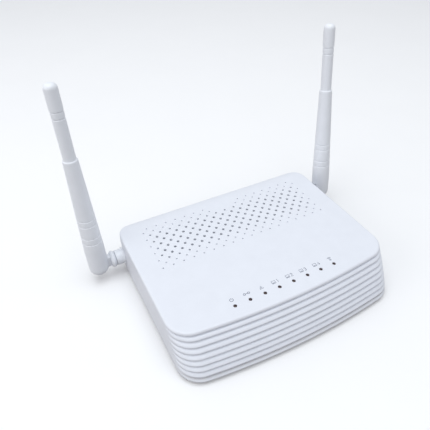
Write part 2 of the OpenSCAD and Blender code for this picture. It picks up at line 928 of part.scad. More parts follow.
// half outline of a rod: rounded end, grooves, taper, step and rounded tip
module rod_outline() {
    end = [for (i = [0 : end_steps]) let (a = 90 * i / end_steps)
        [rod_end_r * sin(a), -rod_end_drop - rod_end_r * cos(a)]];
    tip = [for (i = [0 : end_steps]) let (a = 90 * i / end_steps)
        [tip_r - tip_round + tip_round * cos(a), rod_len - tip_round + tip_round * sin(a)]];
    polygon(concat(end, [for (s = low_grooves) each groove(s)],
        [[rod_r(step_at - eps), step_at], [rod_top_d / 2, step_at + step_h]],
        [for (s = high_grooves) each groove(s)], tip, [[0, rod_len]]));
}

module rod(side) {
    color(white)
    antenna_turned(side) difference() {
        rotate_extrude() rod_outline();
        translate([0, 0, rod_bore_from]) cylinder(r = rod_bore_r, h = rod_len - rod_bore_end - rod_bore_from);
        translate([-2 * rod_end_r, -tongue_t / 2 - gap, -2 * rod_end_r])
            cube([2 * rod_end_r + slot_reach, tongue_t + 2 * gap, 2 * rod_end_r + slot_reach]);
        along_y(0, 0, pin_r + press_gap, -pin_half - pin_end_gap, pin_half + pin_end_gap);
    }
}

module element(side) {
    color(brass)
    antenna_turned(side)
        for (stage = [feed_wire, coil, upper_wire])
            translate([0, 0, rod_bore_from + stage[1]]) cylinder(r = stage[0], h = stage[2]);
}

module coax(side) {
    start_x = pin_side_x - clip_x - journal_end - coax_start_gap;
    bend_x = start_x - coax_straight - coax_bend[0];
    color("dimgray")
    mirror([side == left ? 1 : 0, 0, 0])
        wire([[start_x, swivel_y, swivel_z],
              [start_x - coax_straight, swivel_y, swivel_z],
              [bend_x, swivel_y - coax_bend[1], board_top + coax_drop],
              [bend_x, swivel_y - 2 * coax_bend[1], board_top + coax_r + pin_end_gap]], coax_r);
}

module left_sleeve() { sleeve(left); }
module left_swivel() { swivel(left); }
module left_clip() { clip(left); }
module left_pin() { pin(left); }
module left_rod() { rod(left); }
module left_element() { element(left); }
module left_coax() { coax(left); }
module right_sleeve() { sleeve(right); }
module right_swivel() { swivel(right); }
module right_clip() { clip(right); }
module right_pin() { pin(right); }
module right_rod() { rod(right); }
module right_element() { element(right); }
module right_coax() { coax(right); }

top_cover();
base();
feet();
case_screws();
board_screws();
rating_label();
light_pipes();
status_leds();
main_board();
soc_chip();
soc_heatsink();
memory_chip();
flash_chip();
wifi_chip();
wifi_shield();
lan_transformers();
inductors();
capacitors();
crystals();
lan_jack_1();
lan_jack_2();
lan_jack_3();
lan_jack_4();
lan_contacts_1();
lan_contacts_2();
lan_contacts_3();
lan_contacts_4();
optical_socket();
optical_latches();
ferrule_sleeve();
optical_module();
dc_socket();
dc_pin();
dc_contact();
power_switch();
power_button();
wifi_switch();
wifi_button();
reset_switch();
reset_plunger();
left_sleeve();
left_swivel();
left_clip();
left_pin();
left_rod();
left_element();
left_coax();
right_sleeve();
right_swivel();
right_clip();
right_pin();
right_rod();
right_element();
right_coax();
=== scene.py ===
import json
import math

import bmesh
import bpy
from mathutils import Matrix, Vector
from mathutils.geometry import delaunay_2d_cdt


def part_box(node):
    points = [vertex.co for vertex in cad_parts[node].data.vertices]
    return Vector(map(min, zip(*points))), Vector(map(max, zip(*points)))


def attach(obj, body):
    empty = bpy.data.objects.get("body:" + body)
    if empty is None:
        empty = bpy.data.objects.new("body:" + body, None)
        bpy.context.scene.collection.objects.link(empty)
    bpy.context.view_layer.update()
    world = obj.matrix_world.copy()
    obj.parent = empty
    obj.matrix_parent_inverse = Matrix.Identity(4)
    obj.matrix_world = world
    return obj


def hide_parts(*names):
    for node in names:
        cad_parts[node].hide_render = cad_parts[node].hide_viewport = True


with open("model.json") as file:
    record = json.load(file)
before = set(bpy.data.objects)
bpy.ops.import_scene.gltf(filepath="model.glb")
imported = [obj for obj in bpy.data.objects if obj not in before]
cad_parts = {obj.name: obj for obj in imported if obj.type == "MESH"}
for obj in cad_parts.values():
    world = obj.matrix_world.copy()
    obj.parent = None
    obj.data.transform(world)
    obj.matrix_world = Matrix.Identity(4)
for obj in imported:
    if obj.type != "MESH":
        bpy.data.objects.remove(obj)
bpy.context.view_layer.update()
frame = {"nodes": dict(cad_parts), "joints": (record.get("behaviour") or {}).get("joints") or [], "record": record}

# All sizes below are in millimetres of the shared frame.
MM = 0.001


def box(node):
    """Low and high corner of a CAD node, in millimetres."""
    low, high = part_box(node)
    return low / MM, high / MM


# ---- places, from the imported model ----

cover_low, cover_high = box("top_cover")
base_low, base_high = box("base")
HALF = cover_high.x
FRONT = base_low.y
REAR = base_high.y
BOTTOM = base_low.z
TOP = cover_high.z
PART = cover_low.z
pipes_low, pipes_high = box("light_pipes")
LED_Y = (pipes_low.y + pipes_high.y) / 2

WALL = 2.0
# the front is an arc in plan, leans back towards the top and carries the ribs
BOW_R = 500.0
FRONT_R = 15.0
REAR_R = 12.0
SETBACK = 14.5
SETBACK_POWER = 1.3
PITCH = 3.4
RIBS = 7
DEPTH = 1.0
# how far forward and how far down the top rolls off at the rear
ROLL_D = 10.0
ROLL_H = 3.0
# the rear panel, and the cover's opening round it
PANEL_HALF = 62.0
PANEL_TOP = PART + 22.2
PANEL_GAP = 0.15
OPENING_HALF = PANEL_HALF + PANEL_GAP
OPENING_TOP = PANEL_TOP + PANEL_GAP
BOARD_TOP = box("main_board")[1].z
LEDS = 8
LED_PITCH = 10.0
LED_R = 1.05
VENT_STEP = 5 / math.sqrt(2)
VENT_ROWS = 12
VENT_COLS = 17
VENT_FROM_REAR = 31.8
# x and distance from the rear of each case screw, board post and foot
SCREWS = ((-58, 34), (58, 34), (-55, 92), (55, 92))
POSTS = ((-44, 100), (44, 100), (-60, 66), (60, 66))
FEET = ((-62, 12), (62, 12), (-60, 103), (60, 103))


# ---- flat shapes ----


def circle(x, y, r, steps):
    return [(x + r * math.cos(2 * math.pi * k / steps), y + r * math.sin(2 * math.pi * k / steps))
            for k in range(steps)]


def rect(x0, y0, x1, y1):
    return [(x0, y0), (x1, y0), (x1, y1), (x0, y1)]


def rounded(points, radius, steps=4, closed=True):
    """The line through the points with its corners turned into arcs; radius is one number or one a point."""
    out = []
    count = len(points)
    for i, point in enumerate(points):
        r = radius[i] if isinstance(radius, (list, tuple)) else radius
        if r <= 0 or (not closed and i in (0, count - 1)):
            out.append(tuple(point))
            continue
        here = Vector(point)
        back = Vector(points[i - 1]) - here
        ahead = Vector(points[(i + 1) % count]) - here
        reach = 0.49 * min(back.length, ahead.length)
        back.normalize()
        ahead.normalize()
        angle = back.angle(ahead)
        if math.pi - angle < 1e-3:
            out.append(tuple(point))
            continue
        tangent = min(r / math.tan(angle / 2), reach)
        r = tangent * math.tan(angle / 2)
        centre = here + (back + ahead).normalized() * (r / math.sin(angle / 2))
        first = here + back * tangent - centre
        last = here + ahead * tangent - centre
        start = math.atan2(first.y, first.x)
        turn = (math.atan2(last.y, last.x) - start + math.pi) % (2 * math.pi) - math.pi
        for k in range(steps + 1):
            a = start + turn * k / steps
            out.append((centre.x + r * math.cos(a), centre.y + r * math.sin(a)))
    return out


def signed_area(loop):
    return sum(a[0] * b[1] - b[0] * a[1] for a, b in zip(loop, loop[1:] + loop[:1])) / 2


def shrink(loop, d):
    """A closed loop moved inwards by d, or outwards where d is negative, point for point."""
    if abs(d) < 1e-9:
        return list(loop)
    side = 1 if signed_area(loop) > 0 else -1
    out = []
    for i, point in enumerate(loop):
        here = Vector(point)
        back = (here - Vector(loop[i - 1])).normalized()
        ahead = (Vector(loop[(i + 1) % len(loop)]) - here).normalized()
        n1 = Vector((-back.y, back.x)) * side
        n2 = Vector((-ahead.y, ahead.x)) * side
        moved = here + (n1 + n2) * (d / max(0.3, 1 + n1.dot(n2)))
        out.append((moved.x, moved.y))
    return out


def inside(point, loop):
    """Whether a flat point lies within a closed loop."""
    x, y = point
    odd = False
    for (x0, y0), (x1, y1) in zip(loop, loop[1:] + loop[:1]):
        if (y0 > y) != (y1 > y) and x < x0 + (x1 - x0) * (y - y0) / (y1 - y0):
            odd = not odd
    return odd


UPRIGHT = Matrix.Identity(4)
# from a flat shape's (x, y, height) to the rear panel's plane: x stays, y goes up and height goes out of the rear
ON_REAR = Matrix(((1, 0, 0, 0), (0, 0, 1, REAR), (0, 1, 0, 0), (0, 0, 0, 1)))
# the same for a plane through the origin, seen from the side of an antenna
ON_SIDE = Matrix(((1, 0, 0, 0), (0, 0, 1, 0), (0, 1, 0, 0), (0, 0, 0, 1)))


class Shell:
    """The points and faces of one piece while it is made."""

    def __init__(self):
        self.points = []
        self.faces = []

    def loop(self, points, place=UPRIGHT):
        """Adds points and gives back their numbers."""
        start = len(self.points)
        self.points.extend(place @ Vector(p) for p in points)
        return list(range(start, start + len(points)))

    def bridge(self, a, b):
        """Faces between two rings of the same count."""
        for i in range(len(a)):
            j = (i + 1) % len(a)
            self.faces.append((a[i], a[j], b[j], b[i]))

    def fill(self, rings, flats, extra=(), extra_flats=()):
        """Triangles inside the first ring and outside the others, through the extra points."""
        ids = [i for ring in rings for i in ring] + list(extra)
        spots = [Vector(p) for flat in flats for p in flat] + [Vector(p) for p in extra_flats]
        owner = [k for k, ring in enumerate(rings) for _ in ring] + [-1] * len(extra)
        edges = []
        start = 0
        for ring in rings:
            count = len(ring)
            edges += [(start + k, start + (k + 1) % count) for k in range(count)]
            start += count
        made = delaunay_2d_cdt(spots, edges, [], 0, 1e-7)
        for triangle in made[2]:
            source = [made[3][v][0] for v in triangle]
            owners = {owner[s] for s in source}
            if len(owners) == 1 and owners != {-1}:
                k = owners.pop()
                middle = (spots[source[0]] + spots[source[1]] + spots[source[2]]) / 3
                if inside(middle, [tuple(p) for p in flats[k]]) == (k > 0):
                    continue
            self.faces.append(tuple(ids[s] for s in source))

    def lathe(self, profile, steps=64, place=UPRIGHT, closed=False):
        """Turns (radius, height) points round Z; a radius of 0 closes an end."""
        rings = []
        for r, z in profile:
            if r < 1e-6:
                rings.append(self.loop([(0, 0, z)], place))
            else:
                rings.append(self.loop([(x, y, z) for x, y in circle(0, 0, r, steps)], place))
        pairs = list(zip(rings, rings[1:])) + ([(rings[-1], rings[0])] if closed else [])
        for a, b in pairs:
            if len(a) == 1 or len(b) == 1:
                point, ring = (a[0], b) if len(a) == 1 else (b[0], a)
                for i in range(len(ring)):
                    self.faces.append((point, ring[i], ring[(i + 1) % len(ring)]))
            else:
                self.bridge(a, b)

    def plate(self, outer, holes, low, high, edge, rim=None, place=UPRIGHT, steps=3, blind=()):
        """A flat piece with rounded edges.

        The holes go through; blind lists (loop, floor height) of pockets cut from the top.
        """
        rim = edge if rim is None else rim

        def wall(loop, size, turn, floor=None):
            bands = []
            if floor is None:
                for k in range(steps + 1):
                    a = math.pi / 2 * k / steps
                    bands.append((turn * size * (1 - math.sin(a)), low + size * (1 - math.cos(a))))
            else:
                bands.append((0, floor))
            for k in reversed(range(steps + 1)):
                a = math.pi / 2 * k / steps
                bands.append((turn * size * (1 - math.sin(a)), high - size * (1 - math.cos(a))))
            made = []
            for inset, z in bands:
                flat = shrink(loop, inset)
                made.append((self.loop([(x, y, z) for x, y in flat], place), flat))
            for (a, _), (b, _) in zip(made, made[1:]):
                self.bridge(a, b)
            return made[0], made[-1]

        sides = [wall(outer, edge, 1)] + [wall(h, rim, -1) for h in holes]
        pockets = [wall(loop, rim, -1, floor) for loop, floor in blind]
        bottoms = [s[0] for s in sides]
        tops = [s[1] for s in sides] + [p[1] for p in pockets]
        self.fill([r for r, _ in bottoms], [f for _, f in bottoms])
        self.fill([r for r, _ in tops], [f for _, f in tops])
        for (ring, flat), _ in pockets:
            self.fill([ring], [flat])

    def stroke(self, points, width, low, high, place):
        """A thin printed line through flat points."""
        sections = []
        for i, point in enumerate(points):
            here = Vector(point)
            before = Vector(points[i - 1]) if i else here
            after = Vector(points[i + 1]) if i < len(points) - 1 else here
            along = ((here - before).normalized() + (after - here).normalized()).normalized()
            side = Vector((-along.y, along.x)) * width / 2
            a, b = here - side, here + side
            corners = [(a.x, a.y, low), (b.x, b.y, low), (b.x, b.y, high), (a.x, a.y, high)]
            sections.append(self.loop(corners, place))
        for a, b in zip(sections, sections[1:]):
            self.bridge(a, b)
        self.faces.append(tuple(sections[0]))
        self.faces.append(tuple(sections[-1]))


# ---- materials ----


def node_of(tree, kind, **inputs):
    """A new shader node with its inputs set; an underscore in a name stands for a space."""
    node = tree.nodes.new(kind)
    for name, value in inputs.items():
        node.inputs[name.replace("_", " ")].default_value = value
    return node


def rgb(hexa):
    """Linear colour from a six-digit sRGB value."""
    parts = [int(hexa[i:i + 2], 16) / 255 for i in (0, 2, 4)]
    return [c / 12.92 if c <= 0.04045 else ((c + 0.055) / 1.055) ** 2.4 for c in parts] + [1]


def surface(name, colour, rough, grain, relief, spread, metallic=0.0, coat=0.0, stretch=(1, 1, 1), patch=9.0,
            seam_shade=None):
    """A procedural finish: grain is the size of its fine relief and patch the size of its colour patches, in mm.

    spread is how far the patches' brightness varies. seam is a height, a reach, a painted shade colour and its
    amount: painted shade darkens the colour towards that height, along the parting line.
    """
    material = bpy.data.materials.new(name)
    material.use_nodes = True
    tree = material.node_tree
    shader = tree.nodes["Principled BSDF"]
    shader.inputs["Metallic"].default_value = metallic
    shader.inputs["IOR"].default_value = 1.5
    shader.inputs["Coat Weight"].default_value = coat
    shader.inputs["Coat Roughness"].default_value = 0.15
    where = tree.nodes.new("ShaderNodeTexCoord")
    scaled = node_of(tree, "ShaderNodeMapping")
    scaled.inputs["Scale"].default_value = stretch
    tree.links.new(where.outputs["Object"], scaled.inputs["Vector"])

    fine = node_of(tree, "ShaderNodeTexNoise", Scale=1 / (grain * MM), Detail=3.0, Roughness=0.6)
    tree.links.new(scaled.outputs["Vector"], fine.inputs["Vector"])
    bump = node_of(tree, "ShaderNodeBump", Strength=0.5, Distance=relief * MM)
    tree.links.new(fine.outputs["Fac"], bump.inputs["Height"])
    tree.links.new(bump.outputs["Normal"], shader.inputs["Normal"])

    broad = node_of(tree, "ShaderNodeTexNoise", Scale=1 / (patch * MM), Detail=2.0, Roughness=0.5)
    tree.links.new(scaled.outputs["Vector"], broad.inputs["Vector"])
    paint = tree.nodes.new("ShaderNodeValToRGB")
    base = rgb(colour)
    for element, shade in zip(paint.color_ramp.elements, (1 - spread, 1 + spread)):
        element.color = [min(1, c * shade) for c in base[:3]] + [1]
    paint.color_ramp.elements[0].position = 0.3
    paint.color_ramp.elements[1].position = 0.7
    tree.links.new(broad.outputs["Fac"], paint.inputs["Fac"])
    colour_out = paint.outputs["Color"]

    speckle = node_of(tree, "ShaderNodeMapRange", To_Min=rough - 0.05, To_Max=rough + 0.06)
    tree.links.new(fine.outputs["Fac"], speckle.inputs["Value"])
    tree.links.new(speckle.outputs["Result"], shader.inputs["Roughness"])

    # painted shade: near the parting line the colour is mixed towards a darker warm colour, standing in for the
    # shade in the gap between cover and base
    if seam_shade:
        height, reach, painted_shade_colour, amount = seam_shade
        split = tree.nodes.new("ShaderNodeSeparateXYZ")
        tree.links.new(where.outputs["Object"], split.inputs["Vector"])
        away = node_of(tree, "ShaderNodeMath")
        away.operation = "SUBTRACT"
        away.inputs[1].default_value = height * MM
        tree.links.new(split.outputs["Z"], away.inputs[0])
        size = node_of(tree, "ShaderNodeMath")
        size.operation = "ABSOLUTE"
        tree.links.new(away.outputs[0], size.inputs[0])
        near = node_of(tree, "ShaderNodeMapRange", From_Min=0.0, From_Max=reach * MM, To_Min=amount, To_Max=0.0)
        near.interpolation_type = "SMOOTHSTEP"
        tree.links.new(size.outputs[0], near.inputs["Value"])
        mix = tree.nodes.new("ShaderNodeMix")
        mix.data_type = "RGBA"
        tree.links.new(near.outputs["Result"], mix.inputs["Factor"])
        tree.links.new(colour_out, mix.inputs["A"])
        mix.inputs["B"].default_value = rgb(painted_shade_colour)
        colour_out = mix.outputs["Result"]
    tree.links.new(colour_out, shader.inputs["Base Color"])
    return material


# cover_white and base_white carry a painted shade along the parting line
looks = {
    "cover_white": surface("cover_white", "e6e9f1", 0.42, 0.22, 0.012, 0.012, seam_shade=(PART, 0.6, "b5a898", 0.2)),
    "base_white": surface("base_white", "e0e3ea", 0.45, 0.22, 0.012, 0.012, seam_shade=(PART, 0.6, "a89c8e", 0.2)),
    "antenna_white": surface("antenna_white", "eff2f8", 0.38, 0.3, 0.01, 0.012),
    "button_white": surface("button_white", "dde0e8", 0.4, 0.3, 0.008, 0.015),
    "foot_rubber": surface("foot_rubber", "3a3a3d", 0.75, 0.35, 0.03, 0.08),
    "screw_steel": surface("screw_steel", "b8bac0", 0.32, 0.4, 0.01, 0.06, metallic=1.0, stretch=(1, 1, 6)),
    "label_film": surface("label_film", "d4d7dc", 0.35, 0.5, 0.004, 0.02, coat=0.3),
    "pipe_clear": surface("pipe_clear", "3a2524", 0.12, 0.6, 0.003, 0.15, coat=0.6, patch=1.5),
    "led_white": surface("led_white", "e6dfb8", 0.3, 0.3, 0.005, 0.05),
    "board_green": surface("board_green", "1c5a35", 0.35, 0.8, 0.01, 0.14, coat=0.4, patch=3.0),
    "chip_black": surface("chip_black", "1e1e21", 0.55, 0.12, 0.01, 0.12),
    "sink_aluminium": surface("sink_aluminium", "c2c5ca", 0.3, 0.3, 0.008, 0.05, metallic=1.0, stretch=(6, 1, 1)),
    "shield_steel": surface("shield_steel", "bcbec4", 0.28, 0.4, 0.006, 0.05, metallic=1.0, stretch=(1, 5, 1)),
    "jack_grey": surface("jack_grey", "34363a", 0.4, 0.2, 0.01, 0.06),
    "contact_brass": surface("contact_brass", "e3bf6a", 0.22, 0.3, 0.003, 0.05, metallic=1.0),
    "optical_green": surface("optical_green", "1f8a4c", 0.38, 0.2, 0.01, 0.05),
    "latch_white": surface("latch_white", "dcdad2", 0.45, 0.3, 0.008, 0.03),
    "ceramic_white": surface("ceramic_white", "efece2", 0.15, 0.3, 0.002, 0.02, coat=0.5),
    "socket_black": surface("socket_black", "222225", 0.42, 0.2, 0.01, 0.08),
    "coax_grey": surface("coax_grey", "55565a", 0.6, 0.4, 0.02, 0.06),
}
ink = surface("print_grey", "7d8393", 0.5, 0.12, 0.004, 0.08)

slot_of = {part["node"]: part["material_slot"] for part in frame["record"]["subparts"]}
for name, node in frame["nodes"].items():
    node.data.materials.clear()
    node.data.materials.append(looks[slot_of[name]])


def soften(name, width):
    """Rounded edges on a CAD node that stays."""
    node = frame["nodes"][name]
    weld = node.modifiers.new("weld", "WELD")
    weld.merge_threshold = 1e-6
    bevel = node.modifiers.new("edges", "BEVEL")
    bevel.width = width * MM
    bevel.segments = 2
    bevel.limit_method = "ANGLE"
    bevel.angle_limit = math.radians(35)
    bevel.use_clamp_overlap = True
    node.modifiers.new("normals", "WEIGHTED_NORMAL").keep_sharp = True


def object_of(name, shell):
    """A clean object in the scene, in metres, from a shell in millimetres."""
    mesh = bpy.data.meshes.new(name)
    mesh.from_pydata([p * MM for p in shell.points], [], shell.faces)
    work = bmesh.new()
    work.from_mesh(mesh)
    bmesh.ops.remove_doubles(work, verts=work.verts, dist=1e-7)
    bmesh.ops.recalc_face_normals(work, faces=work.faces)
    work.to_mesh(mesh)
    work.free()
    made = bpy.data.objects.new(name, mesh)
    bpy.context.scene.collection.objects.link(made)
    return made


def piece(name, shell, body, slot, stands_for=(), material=None, cut=None):
    """Makes one piece from a shell, less the cut shell, and ties it to its CAD body."""
    made = object_of(name, shell)
    if cut is not None:
        subtract(made, cut)
    made.data.shade_smooth()
    made.data.set_sharp_from_angle(angle=math.radians(32))
    made.modifiers.new("normals", "WEIGHTED_NORMAL").keep_sharp = True
    made.data.materials.append(material or looks[slot])
    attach(made, body)
    if stands_for:
        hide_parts(*stands_for)


def subtract(target, shell):
    """Cuts a closed shell out of an object and keeps the result as its mesh."""
    cutter = object_of("cutter", shell)
    mesh = cutter.data
    modifier = target.modifiers.new("cut", "BOOLEAN")
    modifier.operation = "DIFFERENCE"
    modifier.solver = "EXACT"
    modifier.object = cutter
    result = bpy.data.meshes.new_from_object(target.evaluated_get(bpy.context.evaluated_depsgraph_get()))
    target.modifiers.clear()
    target.data = result
    bpy.data.objects.remove(cutter)
    bpy.data.meshes.remove(mesh)


# ---- plan of the case ----

# half the front arc's angle, and how many steps each stretch of the outline has
TANGENT = math.asin((HALF - FRONT_R) / (BOW_R - FRONT_R))
ARC_COLS = 44
CORNER_COLS = 16
SIDE_COLS = 14
REAR_CORNER_COLS = 10


def rear_columns():
    """Places along the rear face, with a column on each side of the panel's opening."""
    inner = [OPENING_HALF - 2 * OPENING_HALF * k / 16 for k in range(17)]
    return [HALF - REAR_R] + inner + [-(HALF - REAR_R)]


def outline(front, inset=0.0):
    """The case in plan at one height: points and inward directions, the same count whatever the front's place."""
    points, normals = [], []

    def add(x, y, nx, ny):
        points.append((x - nx * inset, y - ny * inset))
        normals.append((-nx, -ny))

    bow_y = front + BOW_R
    corner_x = HALF - FRONT_R
    corner_y = bow_y - math.sqrt((BOW_R - FRONT_R) ** 2 - corner_x ** 2)
    rear_y = REAR - REAR_R
    for k in range(ARC_COLS + 1):
        a = TANGENT * (2 * k / ARC_COLS - 1)
        add(BOW_R * math.sin(a), bow_y - BOW_R * math.cos(a), math.sin(a), -math.cos(a))
    for k in range(1, CORNER_COLS + 1):
        a = TANGENT + (math.pi / 2 - TANGENT) * k / CORNER_COLS
        add(corner_x + FRONT_R * math.sin(a), corner_y - FRONT_R * math.cos(a), math.sin(a), -math.cos(a))
    for k in range(1, SIDE_COLS + 1):
        add(HALF, corner_y + (rear_y - corner_y) * k / SIDE_COLS, 1, 0)
    for k in range(1, REAR_CORNER_COLS):
        a = math.pi / 2 * k / REAR_CORNER_COLS
        add(HALF - REAR_R + REAR_R * math.cos(a), rear_y + REAR_R * math.sin(a), math.cos(a), math.sin(a))
    for x in rear_columns():
        add(x, REAR, 0, 1)
    for k in range(1, REAR_CORNER_COLS + 1):
        a = math.pi / 2 * (1 + k / REAR_CORNER_COLS)
        add(-(HALF - REAR_R) + REAR_R * math.cos(a), rear_y + REAR_R * math.sin(a), math.cos(a), math.sin(a))
    for k in reversed(range(SIDE_COLS)):
        add(-HALF, corner_y + (rear_y - corner_y) * k / SIDE_COLS, -1, 0)
    for k in reversed(range(1, CORNER_COLS)):
        a = TANGENT + (math.pi / 2 - TANGENT) * k / CORNER_COLS
        add(-corner_x - FRONT_R * math.sin(a), corner_y - FRONT_R * math.cos(a), -math.sin(a), -math.cos(a))
    return points, normals


def setback(z):
    """How far the front leans back at a height."""
    return SETBACK * max(0, (z - BOTTOM) / (TOP - BOTTOM)) ** SETBACK_POWER


def roof(y):
    """Height of the top at a distance along the case: flat, then rolled off at the rear."""
    t = max(0, min(1, (y - (REAR - ROLL_D)) / ROLL_D))
    return TOP - ROLL_H + ROLL_H * math.sqrt(1 - t * t)


def how_far_back(point):
    """0 on the front and sides, rising to 1 on the rear face."""
    t = max(0, min(1, (point[1] - (REAR - REAR_R)) / REAR_R))
    return t * t * (3 - 2 * t)


def vent_holes():
    """Place and radius of each vent hole: a diagonal grid, with smaller holes towards its rim."""
    holes = []
    for row in range(VENT_ROWS):
        for col in range(-VENT_COLS, VENT_COLS + 1):
            if (row + col) % 2 == 0 or (row >= VENT_ROWS - 2 and abs(col) <= 2):
                continue
            rows_in = min(row, VENT_ROWS - 1 - row) - 1
            cols_in = (VENT_COLS - abs(col)) / 2
            share = max(0, min(1, rows_in / 2, cols_in))
            y = REAR - VENT_FROM_REAR + (row - (VENT_ROWS - 1) / 2) * VENT_STEP
            holes.append((col * VENT_STEP, y, 0.55 + 0.4 * share))
    return holes


def led_x(i):
    return (i - (LEDS - 1) / 2) * LED_PITCH


# ---- top cover ----

# radius of the top's edge on each face
SIDE_EDGE, FRONT_EDGE, REAR_EDGE = 1.5, 1.6, 0.3
SEAM = 0.04
RIB_STEPS = 12
UNDERSIDE = 1.35
BAND = PART + RIBS * PITCH
# rows of the outer and of the inner wall that the panel's opening reaches
SPLIT = RIB_STEPS * 6
INNER_SPLIT = 7


def groove_share(t):
    """Depth of a rib's surface between one groove, at 0, and the next, at 1; its underside is the longer."""
    return 0.5 + 0.5 * math.cos(2 * math.pi * t ** UNDERSIDE)


def rib_rows():
    """Height and front edge of each row of the cover's wall, from the parting line up to the top's edge."""
    rows = []
    for rib in range(RIBS):
        low = PART + rib * PITCH
        middle = FRONT + setback(low + PITCH / 2)
        for k in range(RIB_STEPS):
            t = k / RIB_STEPS
            z = low + t * PITCH
            slope = FRONT + setback(z)
            bead = DEPTH * groove_share(t)
            rows.append((z + (SEAM if rib == 0 and k == 0 else 0), 0.5 * middle + 0.5 * slope + bead))
    face = FRONT + setback((BAND + TOP) / 2)
    for k in range(5):
        rows.append((BAND + 0.18 * k, face + DEPTH * groove_share(0.09 * k) * (1 - k / 5)))
    rows.append((TOP - SIDE_EDGE - 0.45, face))
    rows.append((None, face))
    return rows


def edge_radius(normal, back):
    """Radius of the top's edge: crisp in front, softer at the sides, small on the rolled rear."""
    front = max(0, normal[1])
    return (FRONT_EDGE * front + SIDE_EDGE * (1 - front)) * (1 - back) + REAR_EDGE * back


def cover_outside(shell, rows, top_points, radii, backs, in_opening):
    """The outer wall, row by row; gives back its rings of points."""
    last = len(rows) - 1
    count = len(top_points)
    low = PART + SEAM
    grid = []
    for r, (z, front) in enumerate(rows):
        points, _ = outline(front)
        ring = []
        for j, (x, y) in enumerate(points):
            crest = roof(top_points[j][1]) - radii[j]
            plain = crest if z is None else min(z, crest - 0.01 * (last - r))
            if r <= SPLIT:
                rear = low + (OPENING_TOP - low) * r / SPLIT
            else:
                rear = OPENING_TOP + (crest - OPENING_TOP) * (r - SPLIT) / (last - SPLIT)
            ring.append((x, y, plain + (rear - plain) * backs[j]))
        grid.append(shell.loop(ring))
    for r in range(last):
        for j in range(count):
            if not (in_opening[j] and r < SPLIT):
                k = (j + 1) % count
                shell.faces.append((grid[r][j], grid[r][k], grid[r + 1][k], grid[r + 1][j]))
    return grid


def cover_edge(shell, ring_below, top_points, top_normals, radii):
    """The rounded edge of the top; gives back its last ring and that ring's flat points."""
    steps = 6
    for s in range(1, steps + 1):
        a = math.pi / 2 * s / steps
        ring = []
        flat = []
        for (x, y), (nx, ny), radius in zip(top_points, top_normals, radii):
            d = radius * (1 - math.cos(a))
            px, py = x + nx * d, y + ny * d
            flat.append((px, py))
            ring.append((px, py, roof(py) - radius * (1 - math.sin(a))))
        made = shell.loop(ring)
        shell.bridge(ring_below, made)
        ring_below = made
    return ring_below, flat


def cover_holes(shell, ceiling):
    """Vent and indicator holes: a small rounded rim, a straight wall and an opening in the ceiling."""
    upper, upper_flat, lower, lower_flat = [], [], [], []
    spots = [(x, y, r, 16, 0.12) for x, y, r in vent_holes()]
    spots += [(led_x(i), LED_Y, LED_R + 0.08, 28, 0.15) for i in range(LEDS)]
    for x, y, r, around, rim in spots:
        bands = [(r + rim, TOP), (r + rim * 0.3, TOP - rim * 0.3), (r, TOP - rim), (r, ceiling)]
        made = [shell.loop([(px, py, z) for px, py in circle(x, y, size, around)]) for size, z in bands]
        for a, b in zip(made, made[1:]):
            shell.bridge(a, b)
        upper.append(made[0])
        upper_flat.append(circle(x, y, r + rim, around))
        lower.append(made[-1])
        lower_flat.append(circle(x, y, r, around))
    return upper, upper_flat, lower, lower_flat


def roll_points(shell):
    """Free points on the rolled rear edge, for its fill to follow the curve."""
    extra, extra_flat = [], []
    for k in range(0, 11):
        y = REAR - ROLL_D + ROLL_D * math.sin(math.radians(7.2 * k))
        rise = max(0, y - (REAR - REAR_R))
        reach = HALF - REAR_R + math.sqrt(max(0, (REAR_R - 1) ** 2 - rise ** 2)) - 0.6
        x = -4 * math.floor(reach / 4)
        while x <= reach:
            extra_flat.append((x, y))
            extra.append(shell.loop([(x, y, roof(y))])[0])
            x += 4
    return extra, extra_flat


def cover_inside(shell, ceiling, backs, in_opening):
    """The inner wall; gives back its rings of points."""
    rows = [PART + SEAM] + [PART + PITCH * k for k in range(1, 7)] + [OPENING_TOP, ceiling]
    low = PART + SEAM
    inner = []
    for r, z in enumerate(rows):
        front = FRONT + min(setback(z + PITCH * 0.9) + DEPTH, setback(TOP) + DEPTH)
        points, _ = outline(front, WALL)
        rear = low + (OPENING_TOP - low) * r / INNER_SPLIT if r <= INNER_SPLIT else ceiling
        inner.append(shell.loop([(x, y, z + (rear - z) * back) for (x, y), back in zip(points, backs)]))
    count = len(backs)
    for r in range(len(rows) - 1):
        for j in range(count):
            if not (in_opening[j] and r < INNER_SPLIT):
                k = (j + 1) % count
                shell.faces.append((inner[r][j], inner[r][k], inner[r + 1][k], inner[r + 1][j]))
    return inner


def join_walls(shell, grid, inner, in_opening):
    """Closes the lower edge of the cover and the edge of the panel's opening."""
    count = len(in_opening)
    for j in range(count):
        k = (j + 1) % count
        outer_row, inner_row = (SPLIT, INNER_SPLIT) if in_opening[j] else (0, 0)
        shell.faces.append((grid[outer_row][j], grid[outer_row][k], inner[inner_row][k], inner[inner_row][j]))
        if in_opening[j] != in_opening[j - 1]:
            outer_side = [grid[r][j] for r in range(SPLIT + 1)]
            inner_side = [inner[r][j] for r in range(INNER_SPLIT + 1)]
            shell.faces.append(tuple(outer_side + inner_side[::-1]))


